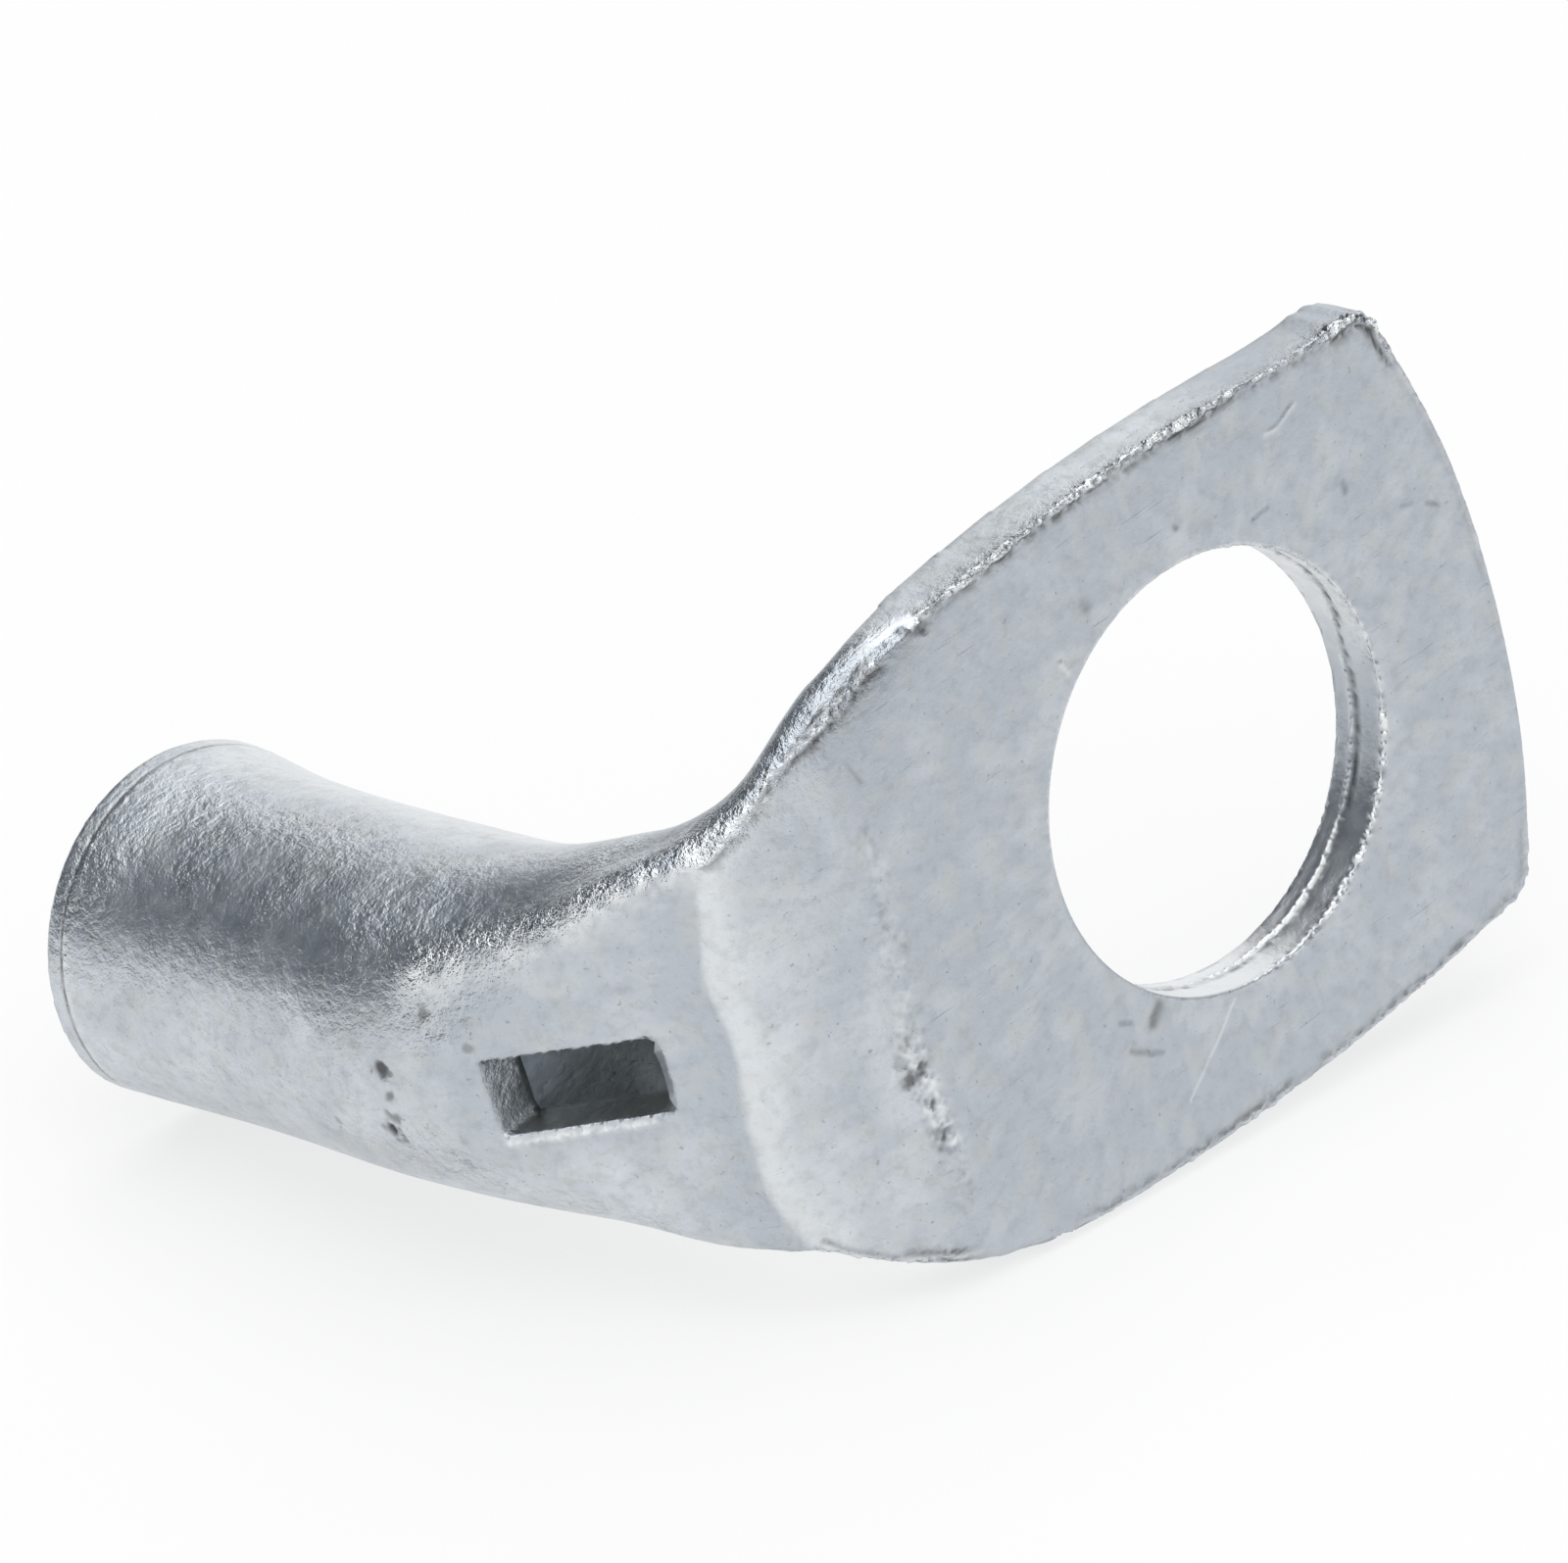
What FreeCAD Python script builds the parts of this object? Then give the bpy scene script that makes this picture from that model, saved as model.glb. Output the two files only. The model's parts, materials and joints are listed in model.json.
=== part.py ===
"""Right-angle ring terminal, made from one piece of copper tube.

The tube keeps its round form as the wire barrel. Below that it is pressed flat,
bent through 90 degrees over two creases, coined to a thin wide palm and pierced
for the bolt. A small rectangular window in the back of the neck shows how far
the wire has been pushed in. It is one solid with no joints.

The form is drawn as if bolted down: the palm's contact face is the plane z = 0,
the bolt hole's axis is the Z axis, X runs from the bend to the tip, and the
barrel stands up along +Z. At the end the solid is laid on its side, as it comes
to rest on a table, with the table at z = 0 and the origin below its middle.
Lengths are in millimetres and angles in degrees.
"""
import FreeCAD
import Part
import math
import os

from FreeCAD import Placement, Rotation, Vector

# Palm, seen along the bolt
bolt_hole_d = 6.4
palm_thickness = 1.0
palm_width = 10.2
neck_width = 9.15
corner_width = 9.36
tip_reach = 5.7
tip_radius = 11.8
tip_corner_radius = 0.14
contact_edge_radius = 0.04
upper_edge_radius = 0.1

# Barrel
barrel_offset = 8.96
barrel_height = 12.6
barrel_d = 5.04
wall = 0.7
mouth_flare = 0.17
flare_height = 3.0
barrel_stations = 6
rim_chamfer = 0.14
entry_chamfer = 0.25
bore_step = 0.03

# Bend and neck, as the corners of their side view
bend_setback = 5.33
facet_length = 2.4
facet_angle = 22.0
ramp_angle = 55.0
front_lean = 20.0
bend_thickness = 1.35
fold_width = 6.42
bend_skew = -5.0
crease_radius = 0.9
palm_run_out = 1.2
outline_blend = 0.5
inner_bend_radius = 0.8
back_blend_radius = 5.0
front_blend_radius = 8.0
foot_margin = 0.8
bend_stations = 4
neck_stations = 9

# Window in the back of the neck
window_width = 1.2
window_bottom = 2.0
window_height = 2.1
window_corner_radius = 0.1

# Roundness of the section's corners, as a share of its half thickness
crease_roundness = 0.25
fold_roundness = 0.96
flat_half_angle = 10.0
side_half_angle = 6.0

# Thinnest half gap that is still modelled as a hollow
least_gap = 0.05

# Accuracy of the search for the resting position, and of comparing lengths
search_mesh = 0.02
first_turn = 4.0
last_turn = 0.01
tolerance = 1e-6

barrel_r = barrel_d / 2
bore_r = barrel_r - wall
back_x = -(barrel_offset + barrel_r)
front_x = -(barrel_offset - barrel_r)
crease_low_x = back_x + bend_setback
palm_end = crease_low_x + palm_run_out


def side_point(x, z):
    """A point of the side view, in the plane y = 0."""
    return Vector(x, 0, z)


def rising(angle):
    """Unit vector of the side view that leaves the -X direction upwards by an angle."""
    return side_point(-math.cos(math.radians(angle)), math.sin(math.radians(angle)))


def inward(angle):
    """Unit vector square to rising(angle), into the metal."""
    return side_point(math.sin(math.radians(angle)), math.cos(math.radians(angle)))


def tangent_length(radius, turn):
    """Distance from a corner to where its rounding starts."""
    return radius * math.tan(math.radians(turn) / 2)


def rounded_path(points, radii):
    """Edges of a polyline with its corners rounded: line, arc, line and so on."""
    edges = []
    start = points[0]
    for before, corner, after, radius in zip(points, points[1:], points[2:], radii):
        back = (before - corner).normalize()
        ahead = (after - corner).normalize()
        half_turn = (math.pi - back.getAngle(ahead)) / 2
        reach = radius * math.tan(half_turn)
        centre = corner + (back + ahead).normalize() * (radius / math.cos(half_turn))
        middle = centre + (corner - centre).normalize() * radius
        edges.append(Part.LineSegment(start, corner + back * reach).toShape())
        edges.append(Part.Arc(corner + back * reach, middle, corner + ahead * reach).toShape())
        start = corner + ahead * reach
    edges.append(Part.LineSegment(start, points[-1]).toShape())
    return edges


def side_view():
    """Outer and inner paths of the bend and neck, from the palm to the barrel's foot."""
    crease_low = side_point(crease_low_x, 0)
    crease_high = crease_low + rising(facet_angle) * facet_length
    ramp_run = (crease_high.x - back_x) / math.cos(math.radians(ramp_angle))
    ramp_top = crease_high + rising(ramp_angle) * ramp_run

    half_low = facet_angle / 2
    half_high = (facet_angle + ramp_angle) / 2
    thick_low = palm_thickness / math.cos(math.radians(half_low))
    thick_high = bend_thickness / math.cos(math.radians(ramp_angle - half_high))
    inner_low = crease_low + inward(half_low) * thick_low
    inner_high = crease_high + inward(half_high) * thick_high
    front_rise = (front_x - inner_high.x) / math.tan(math.radians(front_lean))
    front_top = side_point(front_x, inner_high.z + front_rise)

    back_foot = ramp_top.z + tangent_length(back_blend_radius, 90 - ramp_angle)
    front_foot = front_top.z + tangent_length(front_blend_radius, front_lean)
    foot = max(back_foot, front_foot) + foot_margin
    outer = [side_point(palm_end, 0), crease_low, crease_high, ramp_top]
    inner = [side_point(palm_end, palm_thickness), inner_low, inner_high, front_top]
    outer.append(side_point(back_x, foot))
    inner.append(side_point(front_x, foot))
    outer_path = rounded_path(outer, [crease_radius, crease_radius, back_blend_radius])
    inner_path = rounded_path(inner, [inner_bend_radius, inner_bend_radius, front_blend_radius])
    return outer_path, inner_path, crease_high.x, foot


def pressed_section(outer, inner, widths, corners, skew):
    """Closed wire of the pressed tube: two flats, two sides and four round corners.

    widths are the half widths on the -Y and +Y side, corners the radii on the
    outer and inner side, and skew turns the section about its thickness.
    """
    centre = (outer + inner) / 2
    half = (outer - inner).Length / 2
    up = (outer - inner).normalize()
    sideways = Rotation(up, skew).multVec(Vector(0, 1, 0))

    def corner(side, face):
        width = widths[0] if side < 0 else widths[1]
        radius = corners[0] if face > 0 else corners[1]
        diagonal = radius * math.sqrt(0.5)

        def at(across, height):
            return centre + sideways * (side * across) + up * (face * height)

        on_flat = at(width - radius, half)
        on_arc = at(width - radius + diagonal, half - radius + diagonal)
        on_side = at(width, half - radius)
        return on_flat, on_arc, on_side

    right_outer = corner(1, 1)
    right_inner = corner(1, -1)
    left_inner = corner(-1, -1)
    left_outer = corner(-1, 1)
    edges = [
        Part.LineSegment(left_outer[0], right_outer[0]),
        Part.Arc(*right_outer),
        Part.LineSegment(right_outer[2], right_inner[2]),
        Part.Arc(*reversed(right_inner)),
        Part.LineSegment(right_inner[0], left_inner[0]),
        Part.Arc(*left_inner),
        Part.LineSegment(left_inner[2], left_outer[2]),
        Part.Arc(*reversed(left_outer)),
    ]
    return Part.Wire([edge.toShape() for edge in edges])


def round_section(outer, inner):
    """The same eight edges as pressed_section, on a true circle."""
    centre = (outer + inner) / 2
    radius = (outer - inner).Length / 2
    up = (outer - inner).normalize()

    def at(angle):
        turn = math.radians(angle)
        return centre + Vector(0, radius * math.cos(turn), 0) + up * (radius * math.sin(turn))

    flat = flat_half_angle
    side = side_half_angle
    stops = [90 + flat, 90 - flat, side, -side]
    stops += [stop - 180 for stop in stops] + [flat - 270]
    arcs = [Part.Arc(at(a), at((a + b) / 2), at(b)).toShape() for a, b in zip(stops, stops[1:])]
    return Part.Wire(arcs)


def side_arc():
    """Edge of the palm from the bend to the corner of the tip, on the +Y side."""
    half_corner = corner_width / 2
    corner_x = tip_reach - tip_radius + math.sqrt(tip_radius ** 2 - half_corner ** 2)
    start = Vector(crease_low_x, neck_width / 2, 0)
    middle = Vector((crease_low_x + corner_x) / 2, palm_width / 2, 0)
    end = Vector(corner_x, half_corner, 0)
    return Part.Arc(start, middle, end).toShape()


def palm_half_width(x):
    """Half width of the palm at a distance from the hole."""
    circle = side_arc().Curve
    return circle.Center.y + math.sqrt(circle.Radius ** 2 - (x - circle.Center.x) ** 2)


def folded_half_width(half_thickness):
    """Half width of the neck once pressed to a thickness: the flatter, the wider."""
    spread = (fold_width / 2 - barrel_r) / (barrel_r - bend_thickness / 2)
    return barrel_r + (barrel_r - half_thickness) * spread


def half_width_at(x, half_thickness, crease_high_x):
    """Half width of palm, bend or neck at a place along the outer path."""
    if x < crease_high_x:
        return min(fold_width / 2, folded_half_width(half_thickness))
    share = (crease_low_x - x) / (crease_low_x - crease_high_x)
    on_facet = (neck_width + (fold_width - neck_width) * share) / 2
    on_palm = palm_half_width(x)
    rounding = max(outline_blend - abs(on_facet - on_palm), 0)
    return min(on_facet, on_palm) - rounding ** 2 / (4 * outline_blend)


def paired_points(outer_path, inner_path, count):
    """Matching points, evenly spaced along an outer and an inner path."""
    return list(zip(outer_path.discretize(Number=count), inner_path.discretize(Number=count)))


def blend(start, end, share):
    """A value between two others, held at the ends."""
    return start + (end - start) * max(0.0, min(1.0, share))


def bend_section(outer, inner, crease_high_x):
    """Section of the bend, between the palm and the end of the upper crease."""
    half = (outer - inner).Length / 2
    up = (outer - inner).normalize()
    skew = blend(0, bend_skew, (palm_end - outer.x) / (palm_end - crease_low_x))
    middle_width = half_width_at(outer.x, half, crease_high_x)
    shift = Rotation(up, skew).multVec(Vector(0, 1, 0)).x * middle_width
    widths = [half_width_at(outer.x + way * shift, half, crease_high_x) for way in (-1, 1)]
    share = (crease_low_x - outer.x) / (crease_low_x - crease_high_x)
    outer_corner = blend(contact_edge_radius, crease_roundness * half, share)
    inner_corner = blend(upper_edge_radius, fold_roundness * half, share)
    return pressed_section(outer, inner, widths, [outer_corner, inner_corner], skew)


def neck_sections(points, crease_high_x, inset):
    """Sections from the upper crease to the barrel's foot, drawn in from the skin."""
    middles = [(outer + inner) / 2 for outer, inner in points]
    last = len(points) - 1
    wires = []
    for index, (outer, inner) in enumerate(points):
        if index == 0 and inset == 0:
            wires.append(bend_section(outer, inner, crease_high_x))
            continue
        along = (middles[min(index + 1, last)] - middles[max(index - 1, 0)]).normalize()
        up = (outer - inner).normalize()
        slant = math.sqrt(1 - up.dot(along) ** 2)
        half = (outer - inner).Length / 2
        depth = half - inset / slant
        if depth < least_gap:
            continue
        top = middles[index] + up * depth
        bottom = middles[index] - up * depth
        if index == last:
            wires.append(round_section(top, bottom))
            continue
        width = folded_half_width(half * slant) - inset
        smallest = min(depth, width)
        opened = index / last
        sharpness = fold_roundness if inset else blend(crease_roundness, fold_roundness, 2 * opened)
        corners = [sharpness * smallest, fold_roundness * smallest]
        wires.append(pressed_section(top, bottom, [width, width], corners, bend_skew * (1 - opened)))
    return wires


def bend_skins(palm_end_wire, outer_path, inner_path, crease_high_x):
    """Solids of the bend: palm end, lower crease, facet and upper crease."""
    solids = []
    first_wire = palm_end_wire
    for outer_edge, inner_edge in zip(outer_path, inner_path):
        points = paired_points(outer_edge, inner_edge, bend_stations)
        wires = [first_wire] + [bend_section(outer, inner, crease_high_x) for outer, inner in points[1:]]
        solids.append(Part.makeLoft(wires, True, False))
        first_wire = wires[-1]
    return solids


def palm_plate():
    """The coined palm, from its end at the bend to the tip."""
    corner = side_arc().lastVertex().Point
    middle_x = (palm_end + corner.x) / 2

    def edge_points(side):
        start = Vector(palm_end, side * palm_half_width(palm_end), 0)
        middle = Vector(middle_x, side * palm_half_width(middle_x), 0)
        return start, middle, Vector(corner.x, side * corner.y, 0)

    right = edge_points(1)
    left = edge_points(-1)
    outline = Part.Wire([
        Part.Arc(*right).toShape(),
        Part.Arc(right[2], Vector(tip_reach, 0, 0), left[2]).toShape(),
        Part.Arc(*reversed(left)).toShape(),
        Part.LineSegment(left[0], right[0]).toShape(),
    ])
    plate = Part.Face(outline).extrude(Vector(0, 0, palm_thickness))
    upright = [e for e in plate.Edges if e.BoundBox.ZLength > palm_thickness / 2]
    plate = plate.makeFillet(tip_corner_radius, [e for e in upright if e.BoundBox.XMin > 0])
    for height, radius in [(0, contact_edge_radius), (palm_thickness, upper_edge_radius)]:
        level = [e for e in plate.Edges if abs(e.CenterOfMass.z - height) < tolerance]
        plate = plate.makeFillet(radius, [e for e in level if e.BoundBox.XMax > palm_end + radius])
    return plate


def barrel_outside(foot):
    """The round barrel with its slightly belled mouth, still filled in."""

    def ring(z, r):
        return round_section(side_point(-barrel_offset - r, z), side_point(-barrel_offset + r, z))

    wires = []
    flare_foot = barrel_height - flare_height
    flare_top = barrel_height - rim_chamfer
    for station in range(barrel_stations):
        z = foot + (flare_top - foot) * station / (barrel_stations - 1)
        opened = max(0, (z - flare_foot) / (flare_top - flare_foot))
        wires.append(ring(z, barrel_r + mouth_flare * opened ** 2))
    rim = ring(barrel_height, barrel_r + mouth_flare - rim_chamfer)
    return [Part.makeLoft(wires, True, False), Part.makeLoft([wires[-1], rim], True, True)]


def barrel_bore(foot):
    """The bore and its countersunk entry, which runs on past the rim."""
    base = Vector(-barrel_offset, 0, foot)
    entry = Vector(-barrel_offset, 0, barrel_height - entry_chamfer)
    bore = Part.makeCylinder(bore_r, barrel_height - foot, base)
    return [bore, Part.makeCone(bore_r, bore_r + 2 * entry_chamfer, 2 * entry_chamfer, entry)]


def window_cutter(points):
    """Prism through the back wall only, its inner end half way across the hollow."""
    spine = Part.makePolygon([(outer + inner) / 2 for outer, inner in points])
    outside = back_x - barrel_d
    top = window_bottom + window_height

    def spine_x(height):
        level = Part.LineSegment(side_point(outside, height), side_point(0, height)).toShape()
        return spine.distToShape(level)[1][0][0].x

    corners = [
        side_point(outside, window_bottom),
        side_point(spine_x(window_bottom), window_bottom),
        side_point(spine_x(top), top),
        side_point(outside, top),
    ]
    side = Part.Face(Part.makePolygon(corners + corners[:1]))
    side.translate(Vector(0, -window_width / 2, 0))
    prism = side.extrude(Vector(0, window_width, 0))
    along = [e for e in prism.Edges if max(e.BoundBox.YLength, e.BoundBox.ZLength) < tolerance]
    return prism.makeFillet(window_corner_radius, along)


def ring_terminal():
    """The whole piece, in the position it is drawn in."""
    outer_path, inner_path, crease_high_x, foot = side_view()
    plate = palm_plate()
    plate_end = min(plate.Faces, key=lambda face: face.CenterOfMass.x)
    bend = bend_skins(plate_end.OuterWire, outer_path[:4], inner_path[:4], crease_high_x)
    neck_points = paired_points(Part.Wire(outer_path[4:]), Part.Wire(inner_path[4:]), neck_stations)
    neck = Part.makeLoft(neck_sections(neck_points, crease_high_x, 0), True, False)
    hollow = Part.makeLoft(neck_sections(neck_points, crease_high_x, wall + bore_step), True, False)
    body = plate.fuse(bend + [neck] + barrel_outside(foot))
    below = Vector(0, 0, -palm_thickness)
    bolt_hole = Part.makeCylinder(bolt_hole_d / 2, 3 * palm_thickness, below)
    body = body.cut(barrel_bore(foot) + [hollow, window_cutter(neck_points), bolt_hole])
    return body.Solids[0], foot


def resting_down(solid):
    """Direction that points down when the piece lies at rest on its +Y side.

    The centre of mass of a thing at rest is as low as the contacts allow, so its
    height over the lowest point is brought to a minimum by small turns.
    """
    centre = solid.CenterOfMass
    points = [p - centre for p in solid.tessellate(search_mesh)[0] if p.y > barrel_r / 2]

    def down(turns):
        swung = Rotation(Vector(0, 0, 1), turns[1]).multVec(Vector(0, 1, 0))
        return Rotation(Vector(1, 0, 0), turns[0]).multVec(swung)

    def height(turns):
        way = down(turns)
        return max(p.dot(way) for p in points)

    best = (0.0, 0.0)
    lowest = height(best)
    step = first_turn
    while step > last_turn:
        tries = [(best[0] + i * step, best[1] + j * step) for i in (-1, 0, 1) for j in (-1, 0, 1)]
        found = min(tries, key=height)
        if height(found) < lowest:
            best = found
            lowest = height(found)
        else:
            step = step / 2
    return down(best)


def resting_placement(solid):
    """Placement that lays the piece on the table, X still towards the tip."""
    up = resting_down(solid) * -1
    ahead = (Vector(1, 0, 0) - up * up.x).normalize()
    turn = Rotation(ahead, up.cross(ahead), up, "ZXY").inverted()
    turned = solid.copy()
    turned.Placement = Placement(Vector(0, 0, 0), turn)
    box = turned.optimalBoundingBox(False)
    return Placement(Vector(-box.Center.x, -box.Center.y, -box.ZMin), turn)


def report_mounts(placement, foot):
    """Print where the interfaces lie once the piece is at rest, in metres."""
    beside_hole = (crease_low_x - bolt_hole_d / 2) / 2
    bore_middle = (foot + barrel_height - entry_chamfer) / 2
    places = {
        "bolt_hole": (side_point(0, palm_thickness / 2), Vector(0, 0, -1)),
        "contact_face": (side_point(beside_hole, 0), Vector(0, 0, -1)),
        "nut_face": (side_point(beside_hole, palm_thickness), Vector(0, 0, 1)),
        "wire_barrel": (side_point(-barrel_offset, bore_middle), Vector(0, 0, 1)),
    }
    for name, (place, axis) in places.items():
        position = placement.multVec(place) / 1000
        turned = placement.Rotation.multVec(axis)
        print(name, [round(v, 7) for v in position], [round(v, 7) for v in turned])
    print("wire_barrel length", round(barrel_height - entry_chamfer - foot, 3))
    print("palm frame to table", [round(v, 9) for v in placement.Matrix.A])


solid, barrel_foot = ring_terminal()
placement = resting_placement(solid)
solid.Placement = placement
os.makedirs("parts", exist_ok=True)
solid.exportStep("parts/ring_terminal.step")
print("valid", solid.isValid(), "volume", round(solid.Volume, 3), "faces", len(solid.Faces))
report_mounts(placement, barrel_foot)
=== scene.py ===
"""Looks of the right-angle ring terminal: tin-plated copper, lying on its side.

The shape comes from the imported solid. It is remade here as an even, fine mesh,
so that the neck can be softened and burrs, dents and pits pressed into it. All
of that is placed in the palm's own frame: the contact face is z = 0, the bolt
hole is the Z axis, X runs to the tip and the barrel stands along +Z. Lengths
there are in millimetres. The row's frame, with floor and lamp, is in metres.
"""

import json

import bmesh
import bpy
import numpy as np
from mathutils import Matrix, Vector
from mathutils.bvhtree import BVHTree
from mathutils.kdtree import KDTree


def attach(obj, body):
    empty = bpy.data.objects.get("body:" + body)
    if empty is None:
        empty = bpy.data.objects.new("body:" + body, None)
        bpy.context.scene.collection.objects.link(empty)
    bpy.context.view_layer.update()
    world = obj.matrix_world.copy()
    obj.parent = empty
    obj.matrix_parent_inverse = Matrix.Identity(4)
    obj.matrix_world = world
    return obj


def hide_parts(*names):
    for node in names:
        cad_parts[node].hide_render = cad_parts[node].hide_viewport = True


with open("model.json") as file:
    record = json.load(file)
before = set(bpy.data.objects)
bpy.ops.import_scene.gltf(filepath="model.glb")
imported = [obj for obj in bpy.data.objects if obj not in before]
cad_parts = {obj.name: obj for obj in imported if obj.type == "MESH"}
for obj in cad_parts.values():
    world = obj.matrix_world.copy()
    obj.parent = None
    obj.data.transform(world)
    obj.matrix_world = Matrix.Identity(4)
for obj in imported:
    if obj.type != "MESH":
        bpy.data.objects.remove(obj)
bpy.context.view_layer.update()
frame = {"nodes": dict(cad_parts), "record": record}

MM = 0.001
FAR = 10.0  # stands for nothing within reach

# Fine mesh: its cells, and the rounds of smoothing of each region
voxel = 0.125
weld = 0.0005
even_rounds = 2
neck_rounds = 110
crease_rounds = 10
shoulder_rounds = 60

# How near to a detail the edges are halved: first, again, and at torn edges
wide_zone = 0.24
narrow_zone = 0.1
lip_zone = 0.07

# Drawing the mesh back onto the solid, and its outline onto smooth curves
snap_reach = 0.15
line_step = 0.03
even_reach = 0.9
even_limit = 0.06
even_width = 0.5
rim_round = 0.035

# Border of the contact face: how flat its faces are, how far it stays from the hole,
# and the fold, beyond whose X only the lengthwise edges beside it belong to the border
flat_slope = 0.99
flat_height = 0.01
border_gap = 0.5
fold_x = -4.6
fold_half = 3.5

# Gentle unevenness of the pressed shape: centre, shift and radius
sways = [
    ((-7.3, -3.3, 1.5), (0, -0.13, 0), 0.8),
    ((-6.4, -4.0, 0.8), (0, -0.2, 0), 1.2),
    ((-5.1, -4.6, 0.7), (0, -0.13, 0), 1.0),
    ((-7.5, -2.3, 4.9), (0, 0.15, 0), 1.4),
    ((-10.0, 2.2, 4.4), (0, 0.14, 0), 1.4),
    ((-7.6, 3.6, 0.8), (0, 0.12, 0), 1.1),
    ((-5.75, 4.5, 0.2), (0, 0.05, 0), 0.4),
    ((-5.0, 4.75, 0.1), (0, -0.055, 0), 0.4),
    ((-10.8, 2.2, 12.6), (0, -0.2, 0), 1.2),
    ((4.7, -4.8, 0.5), (0, -0.2, 0), 1.0),
    ((5.6, 0.3, 0.5), (-0.1, 0, 0), 2.5),
]

# Contact face: straight marks as start, end, half width and depth. A negative depth
# is a raised mark with a painted highlight, a positive one a groove with painted shade. Then their common
# traits
face_marks = [
    ((-0.85, 3.23), (-2.1, 4.2), 0.03, -0.004),
    ((-2.85, 2.9), (-2.35, 3.25), 0.035, 0.01),
    ((-2.95, 2.4), (-2.75, 2.5), 0.035, 0.009),
    ((-2.35, 2.75), (-2.15, 2.55), 0.08, 0.016),
    ((2.45, -4.1), (3.05, -4.2), 0.035, -0.012),
    ((4.45, -1.87), (4.65, -1.8), 0.03, 0.008),
    ((4.9, -1.63), (5.1, -1.5), 0.03, 0.01),
    ((1.8, -3.1), (2.1, -3.1), 0.035, 0.007),
    ((-6.05, -3.7), (-5.9, -3.2), 0.03, 0.008),
    ((-2.1, -3.0), (-2.05, -2.8), 0.035, -0.014),
    ((3.5, -2.72), (3.5, -2.6), 0.05, 0.01),
    ((-4.22, -4.7), (-4.12, -4.62), 0.045, 0.025),
    ((-1.45, -3.58), (-1.4, -3.5), 0.09, 0.008),
    ((0.44, -3.73), (0.46, -3.7), 0.045, 0.01),
]
face_height = 0.05
mark_waver = 0.05
mark_wall = 0.3
mark_shade = 35
mark_highlight = 0.4

# Bend and neck: pits as centre, radius, depth and painted shade, and the way the neck's back faces
pits = [
    ((-11.2, -0.5, 5.55), 0.16, 0.04, 0.95),
    ((-11.2, -0.07, 5.5), 0.12, 0.02, 0.65),
    ((-11.2, 0.55, 5.7), 0.16, 0.05, 1.0),
    ((-11.2, 0.75, 5.65), 0.13, 0.04, 0.9),
    ((-11.2, 0.28, 5.6), 0.14, 0.02, 0.6),
    ((-10.7, -1.3, 4.8), 0.12, 0.015, 0.6),
    ((-11.36, 0.54, 6.71), 0.1, 0.01, 0.25),
    ((-10.61, -0.82, 4.09), 0.1, 0.015, 0.45),
    ((-6.5, 1.25, 0.12), 0.09, 0.03, 0.8),
    ((-6.6, 0.9, 0.15), 0.12, 0.012, 0.3),
]
neck_back = (-0.6, 0, -0.8)

# Upper crease, between bend and neck, as X and Z: a place on it, the way across it, and
# the shift of that place on the crest's side. Then its bow along Y, its waves as place
# across, width and height, and the band of painted highlight below them
crease_at = (-8.62, 1.23)
crease_across = (-0.79, 0.62)
crease_turn = (0.12, -0.15)
crease_bow = [(-3, -0.1), (-1.4, 0), (-0.3, -0.14), (1, 0.02), (2.1, 0.1), (2.9, -0.25), (3.3, -0.4)]
crease_waves = [(-0.3, 0.3, 0.06), (0.35, 0.35, -0.08)]
band_width = 0.22
band_fade = 0.4

# Lower crease: the line of its crinkles, and where they crowd as x, y, radius and strength
crinkle_line = [(-6.1, -2.5, 0), (-6.2, -0.3, 0.1), (-6.4, 1.2, 0.1), (-6.2, 2.5, 0), (-6.2, 3.4, 0)]
crinkle_crowds = [(-6.4, 1.2, 0.6, 1.0), (-6.2, 2.2, 0.5, 0.8)]
crinkle_width = 0.24
crinkle_height = 0.02
crinkle_reach = 0.18

# Tumbled crest between the barrel and the shoulder
crest_line = [(-10.4, -1.8, 4.9), (-9.6, -2.5, 3.0), (-8.9, -2.9, 2.0), (-8.4, -3.2, 1.2), (-7.9, -3.4, 0.8)]
crest_width = 0.4
crest_height = 0.16

# Torn edge of the contact face, carried on over both sides of the bend: a burr, the
# lip, and a groove beside it
fold_edge = [(-4.7, -4.7, 0), (-5.9, -4.2, 0.1), (-6.5, -4.0, 0.2), (-7.3, -3.6, 0.5), (-8.2, -3.2, 0.8)]
low_edge = [(-6.2, 4.2, 0.1), (-6.8, 3.9, 0.3), (-7.4, 3.7, 0.7), (-8.1, 3.1, 1.0)]
edge_reach = 0.45
edge_waver = 0.04
lip_width = 0.08
lip_height = 0.01
lip_tearing = 0.05
lip_limits = (-0.04, 0.08)
groove_place = 0.11
groove_width = 0.05
groove_depth = 0.025

# Rim of the bolt hole, and the seam between the tube's two walls inside it. The seam's
# low height and its rise are shares of the palm's thickness. The slot runs along it
rim_width = 0.07
rim_height = 0.02
rim_tearing = 0.05
rim_limits = (-0.03, 0.08)
seam_low = 0.38
seam_rise = 0.28
seam_width = 0.04
slot_place = -0.07
slot_width = 0.035
seam_height = 0.03
seam_margin = 0.08

# Window: its burred edge and the one across from it
window_burr = ((-10.5, 0.7, 4.0), (-9.3, 0.7, 2.2))
window_edge = ((-10.4, -0.6, 4.0), (-9.2, -0.6, 2.3))
burr_width = 0.06
burr_height = 0.02
burr_tearing = 0.03

# Groove and roll below the mouth: distance from it, width and height
mouth_notch = (0.17, 0.03, 0.02)
mouth_roll = (0.24, 0.04, 0.015)

# Dents of tumbling, and how the way out of the bore and the hollow neck is looked for
grain_height = 0.0025
inside_start = 0.4
inside_reach = 5.0
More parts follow.
